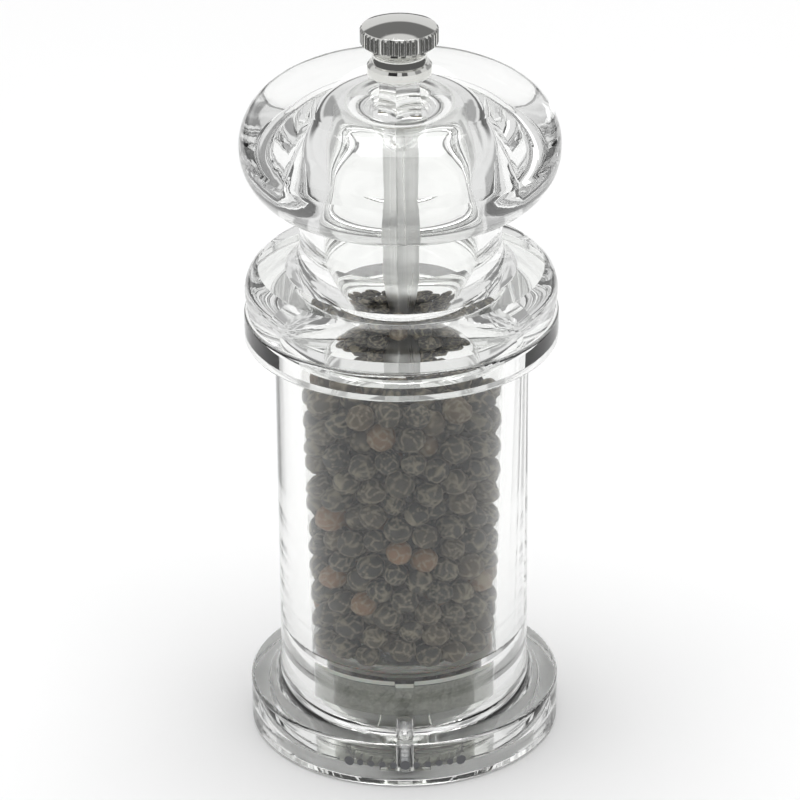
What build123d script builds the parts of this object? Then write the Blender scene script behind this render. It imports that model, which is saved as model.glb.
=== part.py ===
from build123d import *
import math
import os

# Clear acrylic pepper mill, 140 mm tall.
# Frame: +Z up along the spindle, origin under the centre of the foot, -Y is the front (key side).

# ---------------------------------------------------------------- driving dimensions, millimetres
# acrylic body: foot flange, straight tube, collar
FOOT_R = 28.8
FOOT_HEIGHT = 8.8
FOOT_ROUND = 0.6
FOOT_TOP_SLOPE = 0.2
FOOT_FILLET_R = 3.0
TUBE_R = 23.1
COLLAR_R = 28.55
COLLAR_BOTTOM_Z = 78.8
COLLAR_TOP_Z = 84.2
COLLAR_ROUND = 0.5
COLLAR_FILLET_R = 1.2
CHAMBER_FLOOR_Z = 18.5
CHAMBER_FLOOR_R = 17.6
CHAMBER_TOP_R = 19.2
MOUTH_BEVEL = 0.5
LEDGE_R = 14.6
LEDGE_Z = 16.8
POCKET_R = 17.0
RECESS_R = 24.6
RECESS_DEPTH = 2.6
RECESS_BEVEL = 0.3

# acrylic head: bulb, neck, flange bead and the plug that centres it in the body
HEAD_SEAT_Z = 84.3
BULB_R = 28.85
EQUATOR_Z = 116.2
CROWN_TOP_Z = 129.7
CROWN_R = 79.0
SHOULDER_R = 11.16
BULB_UNDER_HEIGHT = 10.8
BULB_UNDER_END = -82.0
NECK_R = 18.3
NECK_TOP_ROUND = 1.1
NECK_BOTTOM_Z = 98.0
THROAT_R = 7.0
THROAT_SWEEP = 52.0
BEAD_R = 28.35
BEAD_NOSE_R = 5.2
BEAD_NOSE_RISE = 3.9
BEAD_NOSE_START = 58.0
BEAD_NOSE_END = -9.0
BEAD_FOOT_IN = 0.5
PLUG_BOTTOM_Z = 78.3
PLUG_TOP_R = 19.08
PLUG_BAND_HEIGHT = 2.5
PLUG_BOTTOM_R = 18.85
PLUG_BEVEL = 0.4
CAVITY_MOUTH_R = 13.8
CAVITY_TOP_R = 13.6
CAVITY_TOP_Z = 117.8
CAVITY_ROUND = 5.0
BOSS_R = 4.6
BOSS_DROP = 4.5
BOSS_ROOT_WIDTH = 4.4
BOSS_END_ROUND = 0.5

# spindle: 3/16 inch square aluminium bar, turned down at both ends
BAR_SIZE = 4.76
BAR_EDGE_BEVEL = 0.15
BAR_TURN = 34.4
SQUARE_HOLE = 4.88
BAR_TOP_Z = 129.4
BAR_BOTTOM_Z = 7.8
THREAD_R = 2.0
THREAD_DEPTH = 0.35
THREAD_PITCH = 0.7
THREAD_START = 1.0
THREAD_TOP_Z = 137.0
JOURNAL_R = 1.9
JOURNAL_BOTTOM_Z = 2.0
CLIP_GROOVE_R = 1.4
CLIP_GROOVE_WIDTH = 0.7
RUNNING_GAP = 0.07

# grinding mechanism
HOUSING_R = 16.85
HOUSING_TOP_Z = 15.85
SPIDER_RING_TOP_Z = 16.75
KEY_WIDTH = 3.0
KEY_OUT_R = 18.2
KEY_CLEARANCE = 0.15
STATOR_R = 13.4
STATOR_BOTTOM_Z = 8.0
STATOR_TOP_Z = 14.5
STATOR_MOUTH_R = 12.2
THROAT_RING_R = 9.6
THROAT_RING_Z = 11.2
STATOR_EXIT_R = 11.2
FINE_TEETH = 36
FINE_GROOVE = 0.5
COARSE_TEETH = 9
COARSE_GROOVE = 0.8
GRIND_GAP = 0.45
ROTOR_BOTTOM_Z = 6.4
ROTOR_TOP_Z = 13.0
ROTOR_TOP_R = 5.6
ROTOR_BEVEL = 0.3
HUB_R = 6.0
HUB_BOTTOM_Z = 19.6
HUB_TOP_Z = 22.4
HUB_BORE_R = 4.35
SPIDER_RIM_WIDTH = 3.25
ARM_COUNT = 3
ARM_WIDTH = 2.4
ARM_OVERLAP = 0.6
BUSH_CLEARANCE = 0.05
BUSH_FLANGE_R = 5.5
BUSH_FLANGE_THICKNESS = 0.6
SPRING_MEAN_R = 4.4
SPRING_WIRE_R = 0.35
SPRING_TURNS = 4
SPRING_REST_GAP = 0.05
WASHER_THICKNESS = 0.6
ROTOR_WASHER_R = 4.4
SPRING_WASHER_R = 5.3
SPRING_WASHER_BORE_R = 3.55
CLIP_THICKNESS = 0.6
CLIP_OUTER_R = 3.6
CLIP_INNER_R = 2.5
CLIP_MOUTH = 3.2
CLIP_PRONG_WIDTH = 1.2

# bottom bridge and its screws
BRIDGE_THICKNESS = 1.2
BRIDGE_WIDTH = 9.0
BRIDGE_END_R = 24.2
BRIDGE_EDGE_BEVEL = 0.2
BRIDGE_BORE_R = 3.2
BRIDGE_BUSH_FLANGE_R = 4.2
BRIDGE_BUSH_FLANGE_THICKNESS = 0.8
SCREW_Y = 20.6
SCREW_SHANK_R = 1.4
SCREW_THREAD_DEPTH = 0.3
SCREW_PITCH = 0.9
SCREW_HEAD_R = 2.6
SCREW_HEAD_HEIGHT = 1.05
SCREW_HEAD_ROUND = 0.6
SCREW_RECESS_LENGTH = 2.8
SCREW_RECESS_WIDTH = 0.6
SCREW_RECESS_DEPTH = 0.7
SCREW_TIP_Z = 9.4
SCREW_HOLE_EXTRA = 0.6
SCREW_HOLE_CLEARANCE = 0.03
BRIDGE_HOLE_CLEARANCE = 0.2

# knob
KNOB_BOTTOM_Z = 129.66
KNOB_TOP_Z = 140.0
KNOB_FOOT_R = 5.77
KNOB_FOOT_TOP_Z = 131.5
KNOB_FOOT_BEVEL = 0.3
KNOB_STEP_R = 5.0
KNOB_STEP_Z = 132.2
KNOB_WAIST_R = 4.9
KNOB_WAIST_TOP_Z = 133.4
KNOB_THROAT_R = 1.0
KNOB_THROAT_END = 125.0
KNOB_RIM_BOTTOM_Z = 135.4
KNOB_RIM_TOP_Z = 138.5
KNOB_RIM_UNDER_R = 6.3
KNOB_CREST_R = 6.98
KNOB_CREST_BEVEL = 0.35
KNOB_FLUTES = 44
KNOB_FLUTE_R = 0.36
KNOB_FLUTE_OUT = 0.08
INSERT_R = 3.5
INSERT_BOTTOM_Z = 130.4
INSERT_TOP_Z = 138.0
INSERT_GROOVE_DEPTH = 0.3
INSERT_GROOVE_WIDTH = 0.8
INSERT_GROOVES_Z = (131.6, 134.4)

# load of peppercorns
LOAD_TOP_Z = 77.8
LOAD_HEAP_Z = 83.2
LOAD_HEAP_EDGE = 2.4
LOAD_GAP = 0.1
LOAD_LIP = 0.4


def on_profile(radius, height):
    """Point of a turned outline, in the plane of X and Z."""
    return Vector(radius, 0, height)


def turned(*edges):
    """Solid of revolution about Z from a closed chain of edges drawn in the plane of X and Z."""
    return revolve(Face(Wire(edges)), Axis.Z, 360)


def turned_outline(*points):
    """Solid of revolution from a closed outline of straight runs."""
    corners = [on_profile(*point) for point in points]
    runs = zip(corners, corners[1:] + corners[:1])
    return turned(*[Edge.make_line(start, end) for start, end in runs])


def ring(outer_r, inner_r, bottom_z, top_z):
    """Plain flat-ended tube on the axis."""
    return turned_outline((inner_r, bottom_z), (outer_r, bottom_z), (outer_r, top_z), (inner_r, top_z))


def disc(radius, bottom_z, top_z):
    """Solid cylinder on the axis."""
    return Pos(0, 0, bottom_z) * extrude(Circle(radius), top_z - bottom_z)


def block(x_size, y_size, bottom_z, top_z, x=0, y=0):
    """Rectangular block, given by its footprint and its two heights."""
    return Pos(x, y, bottom_z) * extrude(Rectangle(x_size, y_size), top_z - bottom_z)


def square_prism(size, bottom_z, top_z):
    """Square bar on the axis, turned to the angle at which the spindle stands at rest."""
    return Pos(0, 0, bottom_z) * Rot(0, 0, BAR_TURN) * extrude(Rectangle(size, size), top_z - bottom_z)


class Outline:
    """Pen that collects straight runs and arcs into one closed turned profile."""

    def __init__(self, radius, height):
        self.start = on_profile(radius, height)
        self.here = self.start
        self.edges = []

    def line(self, radius, height):
        there = on_profile(radius, height)
        self.edges.append(Edge.make_line(self.here, there))
        self.here = there
        return self

    def arc(self, centre_r, centre_z, arc_radius, to_angle, height_radius=None):
        """Arc, or quarter ellipse, from the pen's place to an angle measured from +X towards +Z."""
        rise = height_radius or arc_radius
        from_angle = math.atan2((self.here.Z - centre_z) / rise, (self.here.X - centre_r) / arc_radius)
        end_angle = math.radians(to_angle)
        if end_angle - from_angle > math.pi:
            end_angle -= 2 * math.pi
        if from_angle - end_angle > math.pi:
            end_angle += 2 * math.pi

        def at(share):
            angle = from_angle + (end_angle - from_angle) * share
            return on_profile(centre_r + arc_radius * math.cos(angle), centre_z + rise * math.sin(angle))

        if height_radius:
            steps = 8
            passed = [at(step / steps) for step in range(1, steps + 1)]
            self.edges.append(Edge.make_spline([self.here] + passed))
        else:
            self.edges.append(Edge.make_three_point_arc(self.here, at(0.5), at(1)))
        self.here = at(1)
        return self

    def solid(self):
        self.edges.append(Edge.make_line(self.here, self.start))
        return turned(*self.edges)


def mill_body():
    """Acrylic body: foot flange, tube and collar in one moulding, with chamber and burr pocket."""
    bore_slope = (CHAMBER_TOP_R - CHAMBER_FLOOR_R) / (COLLAR_TOP_Z - CHAMBER_FLOOR_Z)
    foot_side = FOOT_R - FOOT_ROUND
    fillet_r = TUBE_R + FOOT_FILLET_R
    foot_top = FOOT_HEIGHT + FOOT_TOP_SLOPE
    collar_side = COLLAR_R - COLLAR_ROUND
    pen = Outline(RECESS_R, RECESS_BEVEL)
    pen.line(RECESS_R + RECESS_BEVEL, 0)
    pen.line(foot_side, 0)
    pen.arc(foot_side, FOOT_ROUND, FOOT_ROUND, 0)
    pen.line(FOOT_R, FOOT_HEIGHT - FOOT_ROUND)
    pen.arc(foot_side, FOOT_HEIGHT - FOOT_ROUND, FOOT_ROUND, 90)
    pen.line(fillet_r, foot_top)
    pen.arc(fillet_r, foot_top + FOOT_FILLET_R, FOOT_FILLET_R, 180)
    pen.line(TUBE_R, COLLAR_BOTTOM_Z - COLLAR_FILLET_R)
    pen.arc(TUBE_R + COLLAR_FILLET_R, COLLAR_BOTTOM_Z - COLLAR_FILLET_R, COLLAR_FILLET_R, 90)
    pen.line(collar_side, COLLAR_BOTTOM_Z)
    pen.arc(collar_side, COLLAR_BOTTOM_Z + COLLAR_ROUND, COLLAR_ROUND, 0)
    pen.line(COLLAR_R, COLLAR_TOP_Z - COLLAR_ROUND)
    pen.arc(collar_side, COLLAR_TOP_Z - COLLAR_ROUND, COLLAR_ROUND, 90)
    pen.line(CHAMBER_TOP_R + MOUTH_BEVEL, COLLAR_TOP_Z)
    pen.line(CHAMBER_TOP_R - MOUTH_BEVEL * bore_slope, COLLAR_TOP_Z - MOUTH_BEVEL)
    pen.line(CHAMBER_FLOOR_R, CHAMBER_FLOOR_Z + MOUTH_BEVEL)
    pen.line(CHAMBER_FLOOR_R - MOUTH_BEVEL, CHAMBER_FLOOR_Z)
    pen.line(LEDGE_R, CHAMBER_FLOOR_Z)
    pen.line(LEDGE_R, LEDGE_Z)
    pen.line(POCKET_R, LEDGE_Z)
    pen.line(POCKET_R, RECESS_DEPTH)
    pen.line(RECESS_R, RECESS_DEPTH)
    body = pen.solid()
    keyway_depth = KEY_OUT_R + KEY_CLEARANCE
    body -= block(KEY_WIDTH + 2 * KEY_CLEARANCE, keyway_depth, 0, LEDGE_Z, y=-keyway_depth / 2)
    for side in (-1, 1):
        screw_hole = disc(SCREW_SHANK_R + SCREW_HOLE_CLEARANCE, 0, SCREW_TIP_Z + SCREW_HOLE_EXTRA)
        body -= Pos(0, side * SCREW_Y, 0) * screw_hole
    return body


def ring_key(bottom_z, top_z):
    """Locating key at the front of the housing and of the spider's rim."""
    inner_r = STATOR_R + 1
    return block(KEY_WIDTH, KEY_OUT_R - inner_r, bottom_z, top_z, y=-(KEY_OUT_R + inner_r) / 2)


def mechanism_housing():
    """Clear plastic sleeve that carries the fixed burr in the body's pocket."""
    mouth_flare = 0.3
    outlet_bevel = 0.6
    pen = Outline(STATOR_R, RECESS_DEPTH + outlet_bevel)
    pen.line(STATOR_R + outlet_bevel, RECESS_DEPTH)
    pen.line(HOUSING_R, RECESS_DEPTH)
    pen.line(HOUSING_R, HOUSING_TOP_Z)
    pen.line(STATOR_MOUTH_R + mouth_flare, HOUSING_TOP_Z)
    pen.line(STATOR_MOUTH_R, STATOR_TOP_Z)
    pen.line(STATOR_R, STATOR_TOP_Z)
    return pen.solid() + ring_key(RECESS_DEPTH, HOUSING_TOP_Z)


def bearing_spider():
    """Three-armed bridge over the burrs: rim under the body's ledge, hub round the bush."""
    rim_inner = HOUSING_R - SPIDER_RIM_WIDTH
    spider = ring(HOUSING_R, rim_inner, HOUSING_TOP_Z, SPIDER_RING_TOP_Z)
    spider += ring_key(HOUSING_TOP_Z, SPIDER_RING_TOP_Z)
    spider += ring(HUB_R, HUB_BORE_R, HUB_BOTTOM_Z, HUB_TOP_Z)
    arm_root = rim_inner + ARM_OVERLAP
    arm_tip = HUB_R - ARM_OVERLAP
    hub_step = 0.2
    side = Polyline(
        (arm_root, 0, HOUSING_TOP_Z),
        (arm_root, 0, SPIDER_RING_TOP_Z),
        (arm_tip, 0, HUB_TOP_Z - hub_step),
        (arm_tip, 0, HUB_BOTTOM_Z + hub_step),
        close=True,
    )
    arm = extrude(make_face(side.edges()), ARM_WIDTH / 2, dir=(0, 1, 0), both=True)
    for index in range(ARM_COUNT):
        spider += Rot(0, 0, 90 + index * 360 / ARM_COUNT) * arm
    return spider


def groove_cutter(start, end, depth, lean):
    """V-shaped cutter along a cone's side, from start to end (radius, height), leaning round the axis.

    A positive depth cuts into the outside of a cone and a negative one into the inside of a ring.
    """
    start_point = on_profile(*start)
    end_point = Vector(*on_profile(*end)).rotate(Axis.Z, lean)
    along = (end_point - start_point).normalized()
    overrun = 1
    plane = Plane(origin=start_point - along * overrun, x_dir=Vector(1, 0, 0), z_dir=along)
    corners = Polyline((-depth, 0), (depth, depth), (depth, -depth), close=True)
    section = plane * make_face(corners.edges())
    return extrude(section, (end_point - start_point).length + 2 * overrun, dir=along)


def cut_grooves(burr, count, cutter):
    """A burr with one cutter repeated evenly round it."""
    for index in range(count):
        burr -= Rot(0, 0, index * 360 / count) * cutter
    return burr


def stator_ring():
    """Fixed burr: hardened steel ring, a toothed funnel above a toothed grinding cone."""
    mouth = (STATOR_MOUTH_R, STATOR_TOP_Z)
    throat = (THROAT_RING_R, THROAT_RING_Z)
    outlet = (STATOR_EXIT_R, STATOR_BOTTOM_Z)
    burr = turned_outline((STATOR_R, STATOR_BOTTOM_Z), (STATOR_R, STATOR_TOP_Z), mouth, throat, outlet)
    burr = cut_grooves(burr, FINE_TEETH, groove_cutter(outlet, throat, -FINE_GROOVE, 12))
    return cut_grooves(burr, COARSE_TEETH, groove_cutter(throat, mouth, -COARSE_GROOVE, 16))


def rotor():
    """Moving burr: hardened steel cone on the square bar, coarse leaning teeth above, fine ones below."""
    exit_r = STATOR_EXIT_R - GRIND_GAP
    waist = (THROAT_RING_R - GRIND_GAP, THROAT_RING_Z)
    crown = (ROTOR_TOP_R, ROTOR_TOP_Z)
    cone = turned_outline(
        (0, ROTOR_BOTTOM_Z),
        (exit_r - ROTOR_BEVEL, ROTOR_BOTTOM_Z),
        (exit_r, ROTOR_BOTTOM_Z + ROTOR_BEVEL),
        (exit_r, STATOR_BOTTOM_Z),
        waist,
        crown,
        (0, ROTOR_TOP_Z),
    )
    fine_start = (exit_r, STATOR_BOTTOM_Z - 1)
    cone = cut_grooves(cone, FINE_TEETH, groove_cutter(fine_start, waist, FINE_GROOVE, -12))
    cone = cut_grooves(cone, COARSE_TEETH, groove_cutter(waist, crown, COARSE_GROOVE, -24))
    cone -= square_prism(SQUARE_HOLE, BAR_BOTTOM_Z - RUNNING_GAP, ROTOR_TOP_Z + 1)
    return cone - disc(JOURNAL_R + RUNNING_GAP, ROTOR_BOTTOM_Z - 1, BAR_BOTTOM_Z)


def threaded(shaft, root_r, crest_r, first_z, last_z, pitch):
    """A shaft with the crests of a thread drawn as separate rings from the first height to the last."""
    flank = (pitch - 0.1) / 2
    for index in range(int((last_z - first_z) / pitch)):
        base = first_z + index * pitch
        shaft += turned_outline(
            (0, base),
            (root_r, base),
            (crest_r, base + flank),
            (crest_r, base + pitch - flank),
            (root_r, base + pitch),
            (0, base + pitch),
        )
    return shaft


def spindle():
    """Square bar with a threaded top and a turned, grooved journal below."""
    bar = square_prism(BAR_SIZE, BAR_BOTTOM_Z, BAR_TOP_Z)
    bar = chamfer(bar.edges().filter_by(Axis.Z), BAR_EDGE_BEVEL)
    core_r = THREAD_R - THREAD_DEPTH
    bar += disc(core_r, BAR_TOP_Z, THREAD_TOP_Z)
    bar = threaded(bar, core_r, THREAD_R, BAR_TOP_Z + THREAD_START, THREAD_TOP_Z, THREAD_PITCH)
    bar += disc(JOURNAL_R, JOURNAL_BOTTOM_Z, BAR_BOTTOM_Z)
    groove_top = ROTOR_BOTTOM_Z - WASHER_THICKNESS
    return bar - ring(JOURNAL_R + 1, CLIP_GROOVE_R, groove_top - CLIP_GROOVE_WIDTH, groove_top)


def rotor_washer():
    """Steel washer between the rotor and its clip."""
    return ring(ROTOR_WASHER_R, JOURNAL_R + RUNNING_GAP, ROTOR_BOTTOM_Z - WASHER_THICKNESS, ROTOR_BOTTOM_Z)


def retaining_clip():
    """Spring-steel E-clip in the journal's groove, open to one side, with three inner prongs."""
    top = ROTOR_BOTTOM_Z - WASHER_THICKNESS
    bottom = top - CLIP_THICKNESS
    clip = ring(CLIP_OUTER_R, CLIP_INNER_R, bottom, top)
    clip -= block(CLIP_MOUTH, CLIP_OUTER_R, bottom - 1, top + 1, y=-CLIP_OUTER_R)
    prong_r = (CLIP_OUTER_R + CLIP_INNER_R) / 2
    prong_middle = (prong_r + CLIP_GROOVE_R) / 2
    for angle in (-60, 90, 240):
        prong = block(prong_r - CLIP_GROOVE_R, CLIP_PRONG_WIDTH, bottom, top, x=prong_middle)
        clip += Rot(0, 0, angle) * prong
    grip_r = CLIP_GROOVE_R + 0.02
    return clip - disc(grip_r, bottom - 1, top + 1)


def spindle_bush():
    """Nylon bush: square hole on the bar, round journal in the spider's hub, flange for the spring."""
    flange_top = HUB_BOTTOM_Z - BUSH_CLEARANCE
    flange_bottom = flange_top - BUSH_FLANGE_THICKNESS
    stand_proud = 0.6
    bush = disc(HUB_BORE_R - BUSH_CLEARANCE, flange_bottom, HUB_TOP_Z + stand_proud)
    bush += disc(BUSH_FLANGE_R, flange_bottom, flange_top)
    return bush - square_prism(SQUARE_HOLE, flange_bottom - 1, HUB_TOP_Z + stand_proud + 1)


def spring_washer():
    """Steel seat for the spring on top of the rotor."""
    return ring(SPRING_WASHER_R, SPRING_WASHER_BORE_R, ROTOR_TOP_Z, ROTOR_TOP_Z + WASHER_THICKNESS)


def rotor_spring():
    """Compression spring that pushes the moving burr down, away from the fixed one."""
    end_room = SPRING_WIRE_R + SPRING_REST_GAP
    low = ROTOR_TOP_Z + WASHER_THICKNESS + end_room
    high = HUB_BOTTOM_Z - BUSH_CLEARANCE - BUSH_FLANGE_THICKNESS - end_room
    path = Pos(0, 0, low) * Helix((high - low) / SPRING_TURNS, high - low, SPRING_MEAN_R)
    section = Plane(path @ 0, z_dir=path % 0) * Circle(SPRING_WIRE_R)
    return sweep(section, path, is_frenet=True)


def bottom_bridge():
    """Clear polycarbonate bar across the foot that holds the mechanism in its pocket."""
    top = RECESS_DEPTH
    bottom = top - BRIDGE_THICKNESS
    bar = block(BRIDGE_WIDTH, 2 * BRIDGE_END_R, bottom, top) & disc(BRIDGE_END_R, bottom, top)
    bar = chamfer(bar.faces().sort_by(Axis.Z)[0].edges(), BRIDGE_EDGE_BEVEL)
    bar -= disc(BRIDGE_BORE_R, bottom - 1, top + 1)
    for side in (-1, 1):
        screw_hole = disc(SCREW_SHANK_R + BRIDGE_HOLE_CLEARANCE, bottom - 1, top + 1)
        bar -= Pos(0, side * SCREW_Y, 0) * screw_hole
    return bar


def bridge_screws():
    """Two pan-head self-tapping screws with cross recesses."""
    seat = RECESS_DEPTH - BRIDGE_THICKNESS
    face = seat - SCREW_HEAD_HEIGHT
    core_r = SCREW_SHANK_R - SCREW_THREAD_DEPTH
    crown = disc(SCREW_HEAD_R, face, seat)
    crown = fillet(crown.faces().sort_by(Axis.Z)[0].edges(), SCREW_HEAD_ROUND)
    screw = crown + disc(core_r, seat, SCREW_TIP_Z)
    screw = threaded(screw, core_r, SCREW_SHANK_R, RECESS_DEPTH, SCREW_TIP_Z, SCREW_PITCH)
    recess_end = face + SCREW_RECESS_DEPTH
    screw -= block(SCREW_RECESS_LENGTH, SCREW_RECESS_WIDTH, face - 1, recess_end)
    screw -= block(SCREW_RECESS_WIDTH, SCREW_RECESS_LENGTH, face - 1, recess_end)
    return Compound([Pos(0, side * SCREW_Y, 0) * screw for side in (-1, 1)])


def bridge_bush():
    """Flanged nylon bush in the bridge that steadies the foot of the spindle."""
    flange_top = RECESS_DEPTH + BRIDGE_BUSH_FLANGE_THICKNESS
    bush = disc(BRIDGE_BORE_R - BUSH_CLEARANCE, RECESS_DEPTH - BRIDGE_THICKNESS, RECESS_DEPTH)
    bush += disc(BRIDGE_BUSH_FLANGE_R, RECESS_DEPTH, flange_top)
    return bush - disc(JOURNAL_R + RUNNING_GAP, 0, flange_top + 1)


def peppercorns():
    """Load of peppercorns as one plain solid: it fills the chamber and heaps up inside the plug."""
    wall_slope = (CHAMBER_TOP_R - CHAMBER_FLOOR_R) / (COLLAR_TOP_Z - CHAMBER_FLOOR_Z)
    floor_z = CHAMBER_FLOOR_Z + LOAD_GAP
    top_r = CHAMBER_FLOOR_R + wall_slope * (LOAD_TOP_Z - CHAMBER_FLOOR_Z) - 2 * LOAD_GAP
    hole_r = BAR_SIZE / math.sqrt(2) + LOAD_LIP
    hub_z = HUB_TOP_Z + 1.4
    heap_r = CAVITY_MOUTH_R - 1.0
    return turned_outline(
        (hole_r, hub_z),
        (HUB_R + LOAD_LIP, hub_z),
        (LEDGE_R - 2 * LOAD_GAP, floor_z + LOAD_LIP),
        (LEDGE_R, floor_z),
        (CHAMBER_FLOOR_R - 2 * LOAD_LIP, floor_z),
        (CHAMBER_FLOOR_R - 2 * LOAD_GAP, floor_z + 1),
        (top_r, LOAD_TOP_Z),
        (heap_r + LOAD_LIP, LOAD_TOP_Z),
        (heap_r, LOAD_TOP_Z + LOAD_HEAP_EDGE),
        (HUB_R, LOAD_HEAP_Z),
        (hole_r, LOAD_HEAP_Z),
    )


def head():
    """Acrylic turning head: crown, bulb, neck, bead and plug in one moulding, with a square drive hole."""
    core = 1.0
    shoulder_centre = BULB_R - SHOULDER_R
    crown_end = math.degrees(math.acos(shoulder_centre / (CROWN_R - SHOULDER_R)))
    neck_top = EQUATOR_Z - BULB_UNDER_HEIGHT
    neck_round_centre = NECK_R + NECK_TOP_ROUND + 0.2
    nose_centre = BEAD_R - BEAD_NOSE_R
    nose_z = HEAD_SEAT_Z + BEAD_NOSE_RISE
    nose_start = math.radians(BEAD_NOSE_START)
    nose_start_r = nose_centre + BEAD_NOSE_R * math.cos(nose_start)
    boss_root = BOSS_R + BOSS_ROOT_WIDTH
    boss_bottom = CAVITY_TOP_Z - BOSS_DROP
    boss_end = boss_bottom + BOSS_END_ROUND
    pen = Outline(core, CROWN_TOP_Z)
    pen.arc(0, CROWN_TOP_Z - CROWN_R, CROWN_R, crown_end)
    pen.arc(shoulder_centre, EQUATOR_Z, SHOULDER_R, 0)
    pen.arc(NECK_R, EQUATOR_Z, BULB_R - NECK_R, BULB_UNDER_END, height_radius=BULB_UNDER_HEIGHT)
    pen.arc(neck_round_centre, neck_top - 1.0, NECK_TOP_ROUND, 180)
    pen.line(NECK_R, NECK_BOTTOM_Z)
    pen.arc(NECK_R + THROAT_R, NECK_BOTTOM_Z, THROAT_R, 180 + THROAT_SWEEP)
    pen.line(nose_start_r, nose_z + BEAD_NOSE_R * math.sin(nose_start))
    pen.arc(nose_centre, nose_z, BEAD_NOSE_R, BEAD_NOSE_END)
    pen.line(BEAD_R - BEAD_FOOT_IN, HEAD_SEAT_Z)
    pen.line(PLUG_TOP_R + PLUG_BEVEL, HEAD_SEAT_Z)
    pen.line(PLUG_TOP_R, HEAD_SEAT_Z - PLUG_BEVEL)
    pen.line(PLUG_TOP_R, HEAD_SEAT_Z - PLUG_BAND_HEIGHT)
    pen.line(PLUG_BOTTOM_R, PLUG_BOTTOM_Z + PLUG_BEVEL)
    pen.line(PLUG_BOTTOM_R - PLUG_BEVEL, PLUG_BOTTOM_Z)
    pen.line(CAVITY_MOUTH_R + PLUG_BEVEL, PLUG_BOTTOM_Z)
    pen.line(CAVITY_MOUTH_R, PLUG_BOTTOM_Z + PLUG_BEVEL)
    pen.line(CAVITY_TOP_R, CAVITY_TOP_Z - CAVITY_ROUND)
    pen.arc(CAVITY_TOP_R - CAVITY_ROUND, CAVITY_TOP_Z - CAVITY_ROUND, CAVITY_ROUND, 90)
    pen.line(boss_root, CAVITY_TOP_Z)
    pen.arc(boss_root, boss_end, BOSS_ROOT_WIDTH, 180, height_radius=CAVITY_TOP_Z - boss_end)
    pen.arc(BOSS_R - BOSS_END_ROUND, boss_end, BOSS_END_ROUND, -90)
    pen.line(core, boss_bottom)
    return pen.solid() - square_prism(SQUARE_HOLE, boss_bottom - 1, CROWN_TOP_Z + 1)


def knob():
    """Chromed adjusting knob: waisted foot, fluted rim and shallow domed top."""
    crest_inner = KNOB_CREST_R - KNOB_CREST_BEVEL
    dome_foot_z = KNOB_RIM_TOP_Z + 0.15
    dome_rise = KNOB_TOP_Z - dome_foot_z
    dome_r = crest_inner ** 2 / (2 * dome_rise) + dome_rise / 2
    pen = Outline(INSERT_R, KNOB_BOTTOM_Z)
    pen.line(KNOB_FOOT_R - KNOB_FOOT_BEVEL, KNOB_BOTTOM_Z)
    pen.line(KNOB_FOOT_R, KNOB_BOTTOM_Z + KNOB_FOOT_BEVEL)
    pen.line(KNOB_FOOT_R, KNOB_FOOT_TOP_Z)
    pen.line((KNOB_FOOT_R + KNOB_STEP_R) / 2, KNOB_STEP_Z - 0.2)
    pen.line(KNOB_STEP_R, KNOB_STEP_Z)
    pen.line(KNOB_WAIST_R, KNOB_WAIST_TOP_Z)
    pen.arc(KNOB_WAIST_R + KNOB_THROAT_R, KNOB_WAIST_TOP_Z, KNOB_THROAT_R, KNOB_THROAT_END)
    pen.line(KNOB_RIM_UNDER_R, KNOB_RIM_BOTTOM_Z - 0.2)
    pen.line(KNOB_CREST_R, KNOB_RIM_BOTTOM_Z + 0.5)
    pen.line(KNOB_CREST_R, KNOB_RIM_TOP_Z - 0.25)
    pen.line(crest_inner, dome_foot_z)
    pen.arc(0, KNOB_TOP_Z - dome_r, dome_r, 90)
    pen.line(0, INSERT_TOP_Z)
    pen.line(INSERT_R, INSERT_TOP_Z)
    shell = pen.solid()
    flute = Pos(KNOB_CREST_R + KNOB_FLUTE_OUT, 0, 0) * disc(KNOB_FLUTE_R, KNOB_WAIST_TOP_Z, KNOB_TOP_Z)
    for index in range(KNOB_FLUTES):
        shell -= Rot(0, 0, index * 360 / KNOB_FLUTES) * flute
    return shell


def knob_insert():
    """Threaded brass insert moulded into the knob."""
    insert = ring(INSERT_R, THREAD_R + RUNNING_GAP, INSERT_BOTTOM_Z, INSERT_TOP_Z)
    for bottom in INSERT_GROOVES_Z:
        insert -= ring(INSERT_R + 1, INSERT_R - INSERT_GROOVE_DEPTH, bottom, bottom + INSERT_GROOVE_WIDTH)
    return insert


NODES = {
    "mill_body": mill_body,
    "mechanism_housing": mechanism_housing,
    "bearing_spider": bearing_spider,
    "stator_ring": stator_ring,
    "bottom_bridge": bottom_bridge,
    "bridge_screws": bridge_screws,
    "bridge_bush": bridge_bush,
    "peppercorns": peppercorns,
    "spindle_bush": spindle_bush,
    "spindle": spindle,
    "rotor": rotor,
    "rotor_washer": rotor_washer,
    "retaining_clip": retaining_clip,
    "spring_washer": spring_washer,
    "rotor_spring": rotor_spring,
    "head": head,
    "knob": knob,
    "knob_insert": knob_insert,
}

os.makedirs("parts", exist_ok=True)
for name, make in NODES.items():
    export_step(make(), f"parts/{name}.step")
    print("written", name)
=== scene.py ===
import bmesh
import bpy
import math
import numpy as np
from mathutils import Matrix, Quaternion, Vector


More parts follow.
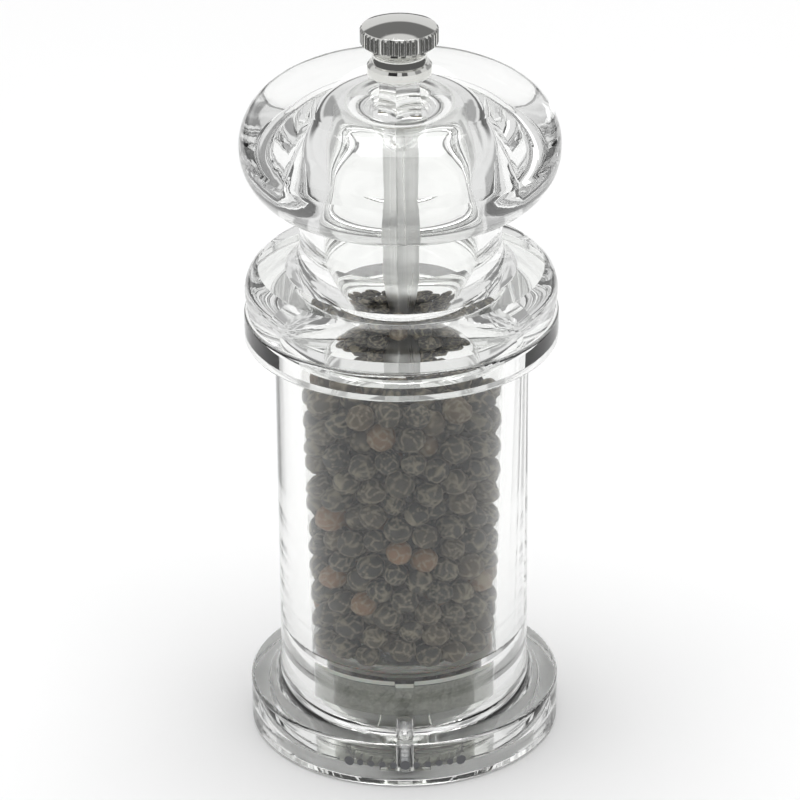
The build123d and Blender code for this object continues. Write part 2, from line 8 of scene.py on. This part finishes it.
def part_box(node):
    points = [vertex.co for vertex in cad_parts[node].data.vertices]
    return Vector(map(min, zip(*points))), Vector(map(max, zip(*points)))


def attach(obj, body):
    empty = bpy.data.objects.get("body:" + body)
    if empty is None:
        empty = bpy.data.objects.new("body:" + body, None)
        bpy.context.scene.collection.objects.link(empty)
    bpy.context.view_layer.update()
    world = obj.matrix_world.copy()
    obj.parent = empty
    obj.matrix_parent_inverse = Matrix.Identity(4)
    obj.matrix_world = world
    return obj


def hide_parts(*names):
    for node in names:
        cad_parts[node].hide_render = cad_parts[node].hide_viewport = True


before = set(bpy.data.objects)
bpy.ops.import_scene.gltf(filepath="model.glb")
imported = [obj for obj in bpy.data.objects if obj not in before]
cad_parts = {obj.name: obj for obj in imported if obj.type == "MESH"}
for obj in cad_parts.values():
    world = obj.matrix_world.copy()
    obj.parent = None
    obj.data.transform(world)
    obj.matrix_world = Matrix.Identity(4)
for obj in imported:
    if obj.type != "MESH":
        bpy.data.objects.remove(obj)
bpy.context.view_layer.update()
mm = 0.001

# ------------------------------------------------------------------ the table it stands on
# A small matt white tabletop in the tent. Nothing is fastened to it: the mill stands on the rim
# of its foot. Past its edges the tent has no floor, which draws the dark lines in the knob.
table_mesh = bpy.data.meshes.new("tabletop")
table_side = 0.3
table_front = -0.22
table_back = 0.6
table_corners = [(-table_side, table_front, 0), (table_side, table_front, 0)]
table_corners += [(table_side, table_back, 0), (-table_side, table_back, 0)]
table_mesh.from_pydata(table_corners, [], [(0, 1, 2, 3)])
tabletop = bpy.data.objects.new("tabletop", table_mesh)
tabletop.location.z = -0.0002
bpy.context.collection.objects.link(tabletop)

table_paint = bpy.data.materials.new("table_paint")
table_paint.use_nodes = True
table_nodes = table_paint.node_tree.nodes
table_links = table_paint.node_tree.links
table_shader = table_nodes["Principled BSDF"]
table_shader.inputs["Roughness"].default_value = 0.65
table_shader.inputs["Specular IOR Level"].default_value = 0.15
table_tone = table_nodes.new("ShaderNodeTexNoise")
table_tone.inputs["Scale"].default_value = 3.0
table_ramp = table_nodes.new("ShaderNodeValToRGB")
table_ramp.color_ramp.elements[0].color = (0.90, 0.90, 0.90, 1)
table_ramp.color_ramp.elements[1].color = (0.93, 0.93, 0.93, 1)
table_links.new(table_tone.outputs["Fac"], table_ramp.inputs["Fac"])
table_links.new(table_ramp.outputs["Color"], table_shader.inputs["Base Color"])
table_mesh.materials.append(table_paint)

# ------------------------------------------------------------------ the light tent and the camera
# A white light tent with dark gaps where its panels meet. The gaps are what draws the dark
# accents in clear acrylic; the table and the air behind stay white to the eye.
tent = bpy.data.worlds.new("light_tent")
bpy.context.scene.world = tent
tent.use_nodes = True
tent_nodes = tent.node_tree.nodes
tent_links = tent.node_tree.links
tent_light = tent_nodes["Background"]
tent_sky = tent_nodes.new("ShaderNodeTexCoord")
tent_parts = tent_nodes.new("ShaderNodeSeparateXYZ")
tent_links.new(tent_sky.outputs["Generated"], tent_parts.inputs["Vector"])


def tent_math(operation, first, second=None):
    """One step of arithmetic on the direction that light comes from."""
    step = tent_nodes.new("ShaderNodeMath")
    step.operation = operation
    for socket, value in zip(step.inputs, (first, second)):
        if isinstance(value, (int, float)):
            socket.default_value = value
        elif value is not None:
            tent_links.new(value, socket)
    return step.outputs["Value"]


tent_back = tent_math("MULTIPLY", tent_parts.outputs["Y"], -1)
tent_azimuth = tent_math("DEGREES", tent_math("ARCTAN2", tent_parts.outputs["X"], tent_back))
tent_height = tent_math("DEGREES", tent_math("ARCSINE", tent_parts.outputs["Z"]))


def within(angle, low, high, soft=4):
    """1 between two angles in degrees, falling to 0 outside them over a soft edge."""
    rise = tent_nodes.new("ShaderNodeMapRange")
    rise.interpolation_type = "SMOOTHSTEP"
    rise.inputs["From Min"].default_value = low - soft
    rise.inputs["From Max"].default_value = low
    tent_links.new(angle, rise.inputs["Value"])
    fall = tent_nodes.new("ShaderNodeMapRange")
    fall.interpolation_type = "SMOOTHSTEP"
    fall.inputs["From Min"].default_value = high
    fall.inputs["From Max"].default_value = high + soft
    fall.inputs["To Min"].default_value = 1
    fall.inputs["To Max"].default_value = 0
    tent_links.new(angle, fall.inputs["Value"])
    return tent_math("MULTIPLY", rise.outputs["Result"], fall.outputs["Result"])


tent_level = 0.80
# azimuth from and to (0 is the front, 90 the right), height from and to, how dark
tent_openings = (
    (-48, -12, 44, 58, 0.95),
    (12, 34, 44, 57, 0.85),
    (150, 180, 30, 54, 0.75),
    (-180, -152, 30, 54, 0.75),
    (70, 90, 14, 46, 0.6),
    (-154, -130, 4, 28, 0.55),
    (118, 148, 4, 28, 0.5),
    (-16, 6, 14, 30, 0.4),
    (-180, 180, -90, -6, 0.85),
)
tent_gaps = None
for azimuth_low, azimuth_high, height_low, height_high, depth in tent_openings:
    across = within(tent_azimuth, azimuth_low, azimuth_high)
    upward = within(tent_height, height_low, height_high)
    gap = tent_math("MULTIPLY", tent_math("MULTIPLY", across, upward), depth)
    tent_gaps = gap if tent_gaps is None else tent_math("MAXIMUM", tent_gaps, gap)
tent_panel = tent_math("MULTIPLY", tent_math("SUBTRACT", 1, tent_gaps), tent_level)
tent_eye = tent_nodes.new("ShaderNodeLightPath")
tent_view = tent_nodes.new("ShaderNodeMix")
tent_links.new(tent_eye.outputs["Is Camera Ray"], tent_view.inputs["Factor"])
tent_links.new(tent_panel, tent_view.inputs["A"])
tent_view.inputs["B"].default_value = 1.0
tent_links.new(tent_view.outputs["Result"], tent_light.inputs["Strength"])
tent_light.inputs["Color"].default_value = (1, 1, 1, 1)

lamp_target = Vector((0, 0, 0.07))
overhead_lamp = ("overhead", (0.0, 0.05, 1.15), 0.8, 7.2)
side_lamp = ("side", (-0.9, -0.2, 0.55), 0.3, 0.2)
for name, place, width, power in (overhead_lamp, side_lamp):
    lamp_data = bpy.data.lights.new(name, "AREA")
    lamp_data.size = width
    lamp_data.energy = power
    lamp = bpy.data.objects.new(name, lamp_data)
    lamp.location = place
    lamp.rotation_euler = (lamp_target - lamp.location).to_track_quat("-Z", "Y").to_euler()
    bpy.context.collection.objects.link(lamp)

camera_data = bpy.data.cameras.new("camera")
camera_data.sensor_width = 36
camera_data.lens = 205.4
camera_data.clip_start = 0.01
camera = bpy.data.objects.new("camera", camera_data)
camera.location = (-0.0004, -0.7484, 0.4383)
aim = Quaternion((1, 0, 0), math.radians(90 - 26.5)) @ Quaternion((0, 0, 1), math.radians(-0.47))
camera.rotation_euler = aim.to_euler()
bpy.context.collection.objects.link(camera)
bpy.context.scene.camera = camera
bpy.context.scene.view_settings.view_transform = "Standard"
bpy.context.scene.cycles.use_denoising = True
bpy.context.scene.cycles.max_bounces = 28
bpy.context.scene.cycles.transmission_bounces = 28
bpy.context.scene.cycles.glossy_bounces = 12
bpy.context.scene.cycles.caustics_reflective = True
bpy.context.scene.cycles.caustics_refractive = True

# ------------------------------------------------------------------ mill body
# Foot, straight tube and collar are one thick-walled moulding in clear acrylic, polished inside
# and out. The pocket for the burrs is let in from below, with a keyway at the front.


def new_material(name):
    """A node material with its nodes, its links and its shader."""
    material = bpy.data.materials.new(name)
    material.use_nodes = True
    tree = material.node_tree
    return material, tree.nodes, tree.links, tree.nodes["Principled BSDF"]


def dress(node, material):
    """The CAD node shows this material in every slot it has."""
    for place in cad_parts[node].material_slots:
        place.material = material


def handling_marks():
    """Node group: faint wipe scratches and specks of dust, as a roughness and a bump height."""
    group = bpy.data.node_groups.new("handling_marks", "ShaderNodeTree")
    for given_name in ("Scratch Scale", "Clean Roughness", "Marked Roughness"):
        group.interface.new_socket(given_name, in_out="INPUT", socket_type="NodeSocketFloat")
    for made_name in ("Roughness", "Height"):
        group.interface.new_socket(made_name, in_out="OUTPUT", socket_type="NodeSocketFloat")
    nodes = group.nodes
    links = group.links
    given = nodes.new("NodeGroupInput")
    made = nodes.new("NodeGroupOutput")
    place = nodes.new("ShaderNodeTexCoord")
    stretch = nodes.new("ShaderNodeMapping")
    stretch.inputs["Scale"].default_value = (1, 1, 0.12)
    stretch.inputs["Rotation"].default_value = (0.5, 0.9, 0.2)
    links.new(place.outputs["Object"], stretch.inputs["Vector"])
    wipes = nodes.new("ShaderNodeTexNoise")
    wipes.inputs["Detail"].default_value = 4
    links.new(stretch.outputs["Vector"], wipes.inputs["Vector"])
    links.new(given.outputs["Scratch Scale"], wipes.inputs["Scale"])
    lines = nodes.new("ShaderNodeMapRange")
    lines.inputs["From Min"].default_value = 0.62
    lines.inputs["From Max"].default_value = 0.72
    links.new(wipes.outputs["Fac"], lines.inputs["Value"])
    blend = nodes.new("ShaderNodeMix")
    links.new(lines.outputs["Result"], blend.inputs["Factor"])
    links.new(given.outputs["Clean Roughness"], blend.inputs["A"])
    links.new(given.outputs["Marked Roughness"], blend.inputs["B"])
    links.new(blend.outputs["Result"], made.inputs["Roughness"])
    links.new(lines.outputs["Result"], made.inputs["Height"])
    return group


marks = handling_marks()


def clear_plastic(name, tint, ior, marked):
    """Clear moulded plastic: fully transmitting, with the handling marks in its polish."""
    material, nodes, links, shader = new_material(name)
    shader.inputs["Transmission Weight"].default_value = 1.0
    shader.inputs["IOR"].default_value = ior
    shader.inputs["Base Color"].default_value = tint
    polish = nodes.new("ShaderNodeGroup")
    polish.node_tree = marks
    polish.inputs["Scratch Scale"].default_value = 900
    polish.inputs["Clean Roughness"].default_value = 0
    polish.inputs["Marked Roughness"].default_value = marked
    links.new(polish.outputs["Roughness"], shader.inputs["Roughness"])
    return material


clear_acrylic = clear_plastic("clear_acrylic", (0.977, 0.982, 0.973, 1), 1.49, 0.03)
dress("mill_body", clear_acrylic)

# ------------------------------------------------------------------ printed band on the foot
# A small screen print in dark grey ink on the front of the foot: a plain row of dots between two
# hairlines, a few hundredths of a millimetre thick.
foot_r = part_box("mill_body")[1][0] / mm
ink_height = 4.6
ink_half_thickness = 0.02
ink_inside = foot_r - ink_half_thickness
ink_outside = foot_r + ink_half_thickness


def printed_patch(shape, outline):
    """Adds one closed patch of ink to the mesh: (along, up) corners in millimetres on the foot's side."""
    rings = []
    for radius in (ink_inside, ink_outside):
        ring = []
        for along, up in outline:
            angle = along / foot_r
            place = (radius * math.sin(angle) * mm, -radius * math.cos(angle) * mm, (ink_height + up) * mm)
            ring.append(shape.verts.new(place))
        rings.append(ring)
    inner, outer = rings
    count = len(outline)
    shape.faces.new(list(reversed(inner)))
    shape.faces.new(outer)
    for index in range(count):
        after = (index + 1) % count
        shape.faces.new((inner[index], inner[after], outer[after], outer[index]))


def dot_outline(centre, radius, corners=20):
    """Corners of a round dot."""
    turns = [2 * math.pi * corner / corners for corner in range(corners)]
    return [(centre + radius * math.cos(turn), radius * math.sin(turn)) for turn in turns]


def line_outline(start, end, thickness, pieces=24):
    """Corners of a long thin line that follows the round of the foot."""
    reach = [start + (end - start) * piece / pieces for piece in range(pieces + 1)]
    return [(x, -thickness / 2) for x in reach] + [(x, thickness / 2) for x in reversed(reach)]


def piece_from(shape, name, material, body):
    """Object from a finished bmesh, with its material, riding on a CAD body."""
    bmesh.ops.recalc_face_normals(shape, faces=shape.faces)
    mesh = bpy.data.meshes.new(name)
    shape.to_mesh(mesh)
    shape.free()
    piece = bpy.data.objects.new(name, mesh)
    mesh.materials.append(material)
    bpy.context.collection.objects.link(piece)
    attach(piece, body)
    return piece


grey_ink, ink_nodes, ink_links, ink_shader = new_material("grey_ink")
ink_shader.inputs["Roughness"].default_value = 0.45
ink_cover = ink_nodes.new("ShaderNodeTexNoise")
ink_cover.inputs["Scale"].default_value = 6000
ink_ramp = ink_nodes.new("ShaderNodeValToRGB")
ink_ramp.color_ramp.elements[0].color = (0.055, 0.057, 0.062, 1)
ink_ramp.color_ramp.elements[1].color = (0.14, 0.14, 0.15, 1)
ink_links.new(ink_cover.outputs["Fac"], ink_ramp.inputs["Fac"])
ink_links.new(ink_ramp.outputs["Color"], ink_shader.inputs["Base Color"])

dot_pitch = 2.1
small_dot_r = 0.62
large_dot_r = 0.95
hairline_start = 12.4
hairline_end = 16.2
hairline_thickness = 0.22
dot_row = bmesh.new()
for step in range(-5, 6):
    dot_r = small_dot_r if step % 5 else large_dot_r
    printed_patch(dot_row, dot_outline(step * dot_pitch, dot_r))
for side in (-1, 1):
    printed_patch(dot_row, line_outline(side * hairline_start, side * hairline_end, hairline_thickness))
piece_from(dot_row, "printed_band", grey_ink, "body")

# ------------------------------------------------------------------ burr housing
# The burrs sit in a sleeve of clear polycarbonate, pushed up into the pocket from below. A key at
# its front stops it turning.
clear_sleeve = clear_plastic("clear_sleeve", (0.95, 0.96, 0.93, 1), 1.58, 0.12)
dress("mechanism_housing", clear_sleeve)

# ------------------------------------------------------------------ bearing spider and bushes
# The three-armed spider over the burrs and the two bushes are natural nylon: milky, slightly
# waxy, a little yellowed where it is thick.


def moulded_nylon():
    """Natural nylon with the fine orange-peel of its mould."""
    material, nodes, links, shader = new_material("natural_nylon")
    shader.inputs["Roughness"].default_value = 0.42
    shader.inputs["Subsurface Weight"].default_value = 0.25
    shader.inputs["Subsurface Scale"].default_value = 0.002
    clouds = nodes.new("ShaderNodeTexNoise")
    clouds.inputs["Scale"].default_value = 260
    ramp = nodes.new("ShaderNodeValToRGB")
    ramp.color_ramp.elements[0].color = (0.68, 0.68, 0.60, 1)
    ramp.color_ramp.elements[1].color = (0.80, 0.80, 0.74, 1)
    links.new(clouds.outputs["Fac"], ramp.inputs["Fac"])
    links.new(ramp.outputs["Color"], shader.inputs["Base Color"])
    peel = nodes.new("ShaderNodeTexNoise")
    peel.inputs["Scale"].default_value = 3500
    bump = nodes.new("ShaderNodeBump")
    bump.inputs["Strength"].default_value = 0.15
    bump.inputs["Distance"].default_value = 0.0001
    links.new(peel.outputs["Fac"], bump.inputs["Height"])
    links.new(bump.outputs["Normal"], shader.inputs["Normal"])
    return material


natural_nylon = moulded_nylon()
for node in ("bearing_spider", "spindle_bush", "bridge_bush"):
    dress(node, natural_nylon)

# ------------------------------------------------------------------ burrs
# Fixed ring and moving cone are sintered steel, dull grey-green from their oil finish, lighter and
# darker at random over a fine grain.


def grained_metal(name, shade, light, roughness, spread, grain, stretch, relief):
    """Bare metal: shade to light over its grain, rougher where it is darker, with a shallow bump."""
    material, nodes, links, shader = new_material(name)
    shader.inputs["Metallic"].default_value = 1.0
    place = nodes.new("ShaderNodeTexCoord")
    along = nodes.new("ShaderNodeMapping")
    along.inputs["Scale"].default_value = stretch
    links.new(place.outputs["Object"], along.inputs["Vector"])
    noise = nodes.new("ShaderNodeTexNoise")
    noise.inputs["Scale"].default_value = grain
    noise.inputs["Detail"].default_value = 5
    links.new(along.outputs["Vector"], noise.inputs["Vector"])
    ramp = nodes.new("ShaderNodeValToRGB")
    ramp.color_ramp.elements[0].position = 0.3
    ramp.color_ramp.elements[0].color = shade
    ramp.color_ramp.elements[1].position = 0.7
    ramp.color_ramp.elements[1].color = light
    links.new(noise.outputs["Fac"], ramp.inputs["Fac"])
    links.new(ramp.outputs["Color"], shader.inputs["Base Color"])
    polish = nodes.new("ShaderNodeMapRange")
    polish.inputs["From Min"].default_value = 0.3
    polish.inputs["From Max"].default_value = 0.7
    polish.inputs["To Min"].default_value = roughness + spread
    polish.inputs["To Max"].default_value = roughness
    links.new(noise.outputs["Fac"], polish.inputs["Value"])
    links.new(polish.outputs["Result"], shader.inputs["Roughness"])
    bump = nodes.new("ShaderNodeBump")
    bump.inputs["Strength"].default_value = relief
    bump.inputs["Distance"].default_value = 0.00005
    links.new(noise.outputs["Fac"], bump.inputs["Height"])
    links.new(bump.outputs["Normal"], shader.inputs["Normal"])
    return material


burr_steel = grained_metal(
    "burr_steel", (0.44, 0.45, 0.38, 1), (0.66, 0.67, 0.60, 1), 0.42, 0.16, 1800, (1, 1, 1), 0.4
)
dress("stator_ring", burr_steel)
dress("rotor", burr_steel)

# ------------------------------------------------------------------ bridge, screws, clip and spring
# The bar across the foot is clear polycarbonate, screwed up into the acrylic at both ends. The
# fixings are zinc-plated steel, and the spring and clip are bright spring steel.
dress("bottom_bridge", clear_sleeve)
bar_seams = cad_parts["bottom_bridge"].modifiers.new("closed_seams", "WELD")
bar_seams.merge_threshold = 0.000002
bar_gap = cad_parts["bottom_bridge"].modifiers.new("air_gap", "DISPLACE")
bar_gap.mid_level = 0
bar_gap.strength = -0.00004
plated_steel = grained_metal(
    "plated_steel", (0.50, 0.51, 0.53, 1), (0.70, 0.70, 0.70, 1), 0.24, 0.14, 900, (1, 1, 1), 0.3
)
for node in ("bridge_screws", "rotor_washer", "retaining_clip", "spring_washer", "rotor_spring"):
    dress(node, plated_steel)

# ------------------------------------------------------------------ spindle
# A square bar of drawn aluminium, with long fine draw lines down its faces. It passes through the
# pepper, and the head's square hole slides on it.
drawn_aluminium = grained_metal(
    "drawn_aluminium", (0.70, 0.705, 0.695, 1), (0.82, 0.82, 0.81, 1), 0.26, 0.10, 1500, (1, 1, 0.02), 0.12
)
dress("spindle", drawn_aluminium)

# ------------------------------------------------------------------ peppercorns
# About six hundred dried peppercorns, poured in from the top: they lie against the tube, round the
# spindle and heap up into the mouth of the head. Each is a shrunken berry with a net of ridges.
chamber_floor = 18.6
chamber_floor_r = 17.55
wall_slope = 1.6 / 65.7
plug_bottom = 78.2
plug_mouth_r = 13.6
heap_top = 83.1
heap_fall = 0.02
slope_foot_r = 14.4
slope_run = 8
spindle_corner_r = 3.45
hub_r = 6.2
hub_top = 23.9
corn_count = 590
corn_rng = np.random.default_rng(17)
corn_r = corn_rng.uniform(2.12, 2.66, corn_count)


def kept_in_chamber(centres):
    """Moves centres back inside the chamber, clear of its wall, floor, hub, spindle and plug."""
    x, y, z = centres.T
    away = np.hypot(x, y) + 1e-9
    wall = chamber_floor_r + wall_slope * (z - chamber_floor) - corn_r
    in_mouth = z > plug_bottom - corn_r
    wall = np.where(in_mouth & (away < plug_mouth_r - corn_r + 0.8), plug_mouth_r - corn_r, wall)
    core = np.where(z < hub_top + corn_r, hub_r, spindle_corner_r) + corn_r
    kept = np.clip(away, core, wall)
    x *= kept / away
    y *= kept / away
    up_slope = np.clip((slope_foot_r - kept) / slope_run, 0, 1)
    slope_floor = chamber_floor + up_slope * (hub_top - chamber_floor - 0.6)
    heap = heap_top - heap_fall * kept**2
    ceiling = np.where(kept <= plug_mouth_r - corn_r + 0.01, heap, plug_bottom) - corn_r
    return np.stack([x, y, np.clip(z, slope_floor + corn_r, ceiling)], axis=1)


corn_z = corn_rng.uniform(20, 82, corn_count)
corn_turn = corn_rng.uniform(0, 2 * math.pi, corn_count)
poured_within_r = 16
corn_away = np.sqrt(corn_rng.uniform(0.06, 1, corn_count)) * poured_within_r
corns = np.stack([corn_away * np.cos(corn_turn), corn_away * np.sin(corn_turn), corn_z], axis=1)
corns = kept_in_chamber(corns)
reach = corn_r[:, None] + corn_r[None, :]
np.fill_diagonal(reach, 0)
settling_rounds = 260
push_share = 0.42
sink_per_round = 0.03
for settling in range(settling_rounds):
    gaps = corns[:, None, :] - corns[None, :, :]
    apart = np.sqrt((gaps**2).sum(axis=2)) + 1e-6
    overlap = np.clip(reach - apart, 0, None)
    push = (gaps * (overlap / apart)[:, :, None]).sum(axis=1)
    corns = corns + push_share * push
    corns[:, 2] -= sink_per_round
    corns = kept_in_chamber(corns)

corn_shapes = {}
for divisions in (3, 4):
    berry = bmesh.new()
    bmesh.ops.create_icosphere(berry, subdivisions=divisions, radius=1)
    skin = np.array([vert.co[:] for vert in berry.verts])
    corn_shapes[divisions] = (skin, np.array([[vert.index for vert in face.verts] for face in berry.faces]))
    berry.free()


def wrinkled(skin, rng):
    """Radius share and ridge mask of one berry's skin: cells between random seeds, with raised seams."""
    seeds = rng.normal(size=(int(rng.integers(20, 34)), 3))
    seeds /= np.linalg.norm(seeds, axis=1)[:, None]
    bent = skin + 0.13 * np.sin(skin[:, [1, 2, 0]] * 5 + rng.uniform(0, 6, 3))
    bent /= np.linalg.norm(bent, axis=1)[:, None]
    angles = np.sort(np.arccos(np.clip(bent @ seeds.T, -1, 1)), axis=1)
    ridge = np.exp(-(((angles[:, 1] - angles[:, 0]) / 0.085) ** 2))
    lump = np.sin(bent @ rng.normal(size=3) * 2.2 + rng.uniform(0, 6))
    return 0.955 + 0.045 * ridge - 0.035 * (0.5 + 0.5 * lump), ridge


def corn_heap(name, chosen, divisions, material):
    """One piece of many berries, with each one's ridges and tone as attributes of the mesh."""
    skin, faces = corn_shapes[divisions]
    points = []
    ridges = []
    tones = []
    for number in chosen:
        rng = np.random.default_rng(1000 + int(number))
        share, ridge = wrinkled(skin, rng)
        points.append(corns[number] + skin * (share * corn_r[number])[:, None])
        ridges.append(ridge)
        tones.append(np.full(len(skin), rng.uniform()))
    points = np.concatenate(points) * mm
    all_faces = np.concatenate([faces + index * len(skin) for index in range(len(chosen))])
    mesh = bpy.data.meshes.new(name)
    mesh.from_pydata(points.tolist(), [], all_faces.tolist())
    for label, values in (("ridge", ridges), ("tone", tones)):
        mesh.attributes.new(label, "FLOAT", "POINT").data.foreach_set("value", np.concatenate(values))
    mesh.shade_smooth()
    mesh.materials.append(material)
    piece = bpy.data.objects.new(name, mesh)
    bpy.context.collection.objects.link(piece)
    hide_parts("peppercorns")
    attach(piece, "body")
    return piece


pepper_skin, skin_nodes, skin_links, skin_shader = new_material("pepper_skin")
skin_shader.inputs["Specular IOR Level"].default_value = 0.35
ridge_mask = skin_nodes.new("ShaderNodeAttribute")
ridge_mask.attribute_name = "ridge"
tone_mask = skin_nodes.new("ShaderNodeAttribute")
tone_mask.attribute_name = "tone"
skin_tone = skin_nodes.new("ShaderNodeValToRGB")
skin_stops = (
    (0.0, (0.036, 0.034, 0.031, 1)),
    (0.45, (0.056, 0.050, 0.041, 1)),
    (0.80, (0.082, 0.068, 0.049, 1)),
    (0.93, (0.115, 0.086, 0.055, 1)),
    (0.97, (0.300, 0.165, 0.090, 1)),
)
while len(skin_tone.color_ramp.elements) < len(skin_stops):
    skin_tone.color_ramp.elements.new(0.5)
for stop, (position, colour) in zip(skin_tone.color_ramp.elements, skin_stops):
    stop.position = position
    stop.color = colour
skin_links.new(tone_mask.outputs["Fac"], skin_tone.inputs["Fac"])
mottle = skin_nodes.new("ShaderNodeTexNoise")
mottle.inputs["Scale"].default_value = 900
mottle.inputs["Detail"].default_value = 5
# Painted highlight: the raised ridges of each berry are mixed toward a pale beige, in patches set by the
# mottle, standing for light on their crests; the valleys stay the darker skin tone.
painted_ridge_light = skin_nodes.new("ShaderNodeMath")
painted_ridge_light.operation = "MULTIPLY"
ridge_light_breakup = skin_nodes.new("ShaderNodeMapRange")
ridge_light_breakup.inputs["From Min"].default_value = 0.3
ridge_light_breakup.inputs["From Max"].default_value = 0.6
ridge_light_breakup.inputs["To Min"].default_value = 0.35
skin_links.new(mottle.outputs["Fac"], ridge_light_breakup.inputs["Value"])
skin_links.new(ridge_mask.outputs["Fac"], painted_ridge_light.inputs[0])
skin_links.new(ridge_light_breakup.outputs["Result"], painted_ridge_light.inputs[1])
# The pale beige here is the painted highlight colour laid on the ridges.
ridge_light_mix = skin_nodes.new("ShaderNodeMix")
ridge_light_mix.data_type = "RGBA"
ridge_light_mix.inputs["B"].default_value = (0.44, 0.39, 0.28, 1)
skin_links.new(painted_ridge_light.outputs["Value"], ridge_light_mix.inputs["Factor"])
skin_links.new(skin_tone.outputs["Color"], ridge_light_mix.inputs["A"])
skin_links.new(ridge_light_mix.outputs["Result"], skin_shader.inputs["Base Color"])
skin_rough = skin_nodes.new("ShaderNodeMapRange")
skin_rough.inputs["To Min"].default_value = 0.42
skin_rough.inputs["To Max"].default_value = 0.7
skin_links.new(mottle.outputs["Fac"], skin_rough.inputs["Value"])
skin_links.new(skin_rough.outputs["Result"], skin_shader.inputs["Roughness"])
skin_bump = skin_nodes.new("ShaderNodeBump")
skin_bump.inputs["Strength"].default_value = 0.6
skin_bump.inputs["Distance"].default_value = 0.00012
skin_links.new(mottle.outputs["Fac"], skin_bump.inputs["Height"])
skin_links.new(skin_bump.outputs["Normal"], skin_shader.inputs["Normal"])

corn_away = np.hypot(corns[:, 0], corns[:, 1])
at_wall = corn_away > chamber_floor_r + wall_slope * (corns[:, 2] - chamber_floor) - corn_r - 2.2
on_top = corns[:, 2] > 74
low_shell = np.flatnonzero(at_wall & (corns[:, 2] < 48))
high_shell = np.flatnonzero((at_wall | on_top) & (corns[:, 2] >= 48))
core_corns = np.flatnonzero(~at_wall & ~on_top)
corn_heap("peppercorns_lower", low_shell, 4, pepper_skin)
corn_heap("peppercorns_upper", high_shell, 4, pepper_skin)
corn_heap("peppercorns_inner", core_corns, 3, pepper_skin)

# ------------------------------------------------------------------ head
# Bulb, neck, bead and plug are one acrylic moulding. A square hole through the boss under the
# crown drives the spindle; the plug turns freely in the top of the body.
dress("head", clear_acrylic)

# ------------------------------------------------------------------ knob
# The adjusting knob is zinc, die-cast and chromed, with a threaded brass insert. Its flutes have
# soft edges under the plating.
chrome, chrome_nodes, chrome_links, chrome_shader = new_material("chrome")
chrome_shader.inputs["Metallic"].default_value = 1.0
chrome_marks = chrome_nodes.new("ShaderNodeGroup")
chrome_marks.node_tree = marks
chrome_marks.inputs["Scratch Scale"].default_value = 1400
chrome_marks.inputs["Clean Roughness"].default_value = 0.04
chrome_marks.inputs["Marked Roughness"].default_value = 0.16
chrome_links.new(chrome_marks.outputs["Roughness"], chrome_shader.inputs["Roughness"])
chrome_tone = chrome_nodes.new("ShaderNodeTexNoise")
chrome_tone.inputs["Scale"].default_value = 160
chrome_ramp = chrome_nodes.new("ShaderNodeValToRGB")
chrome_ramp.color_ramp.elements[0].color = (0.70, 0.70, 0.67, 1)
chrome_ramp.color_ramp.elements[1].color = (0.80, 0.80, 0.78, 1)
chrome_links.new(chrome_tone.outputs["Fac"], chrome_ramp.inputs["Fac"])
chrome_links.new(chrome_ramp.outputs["Color"], chrome_shader.inputs["Base Color"])
plated_edge = chrome_nodes.new("ShaderNodeBevel")
plated_edge.inputs["Radius"].default_value = 0.00005
chrome_links.new(plated_edge.outputs["Normal"], chrome_shader.inputs["Normal"])
dress("knob", chrome)
turned_brass = grained_metal(
    "turned_brass", (0.62, 0.44, 0.18, 1), (0.84, 0.65, 0.32, 1), 0.24, 0.14, 1500, (1, 1, 12), 0.4
)
dress("knob_insert", turned_brass)
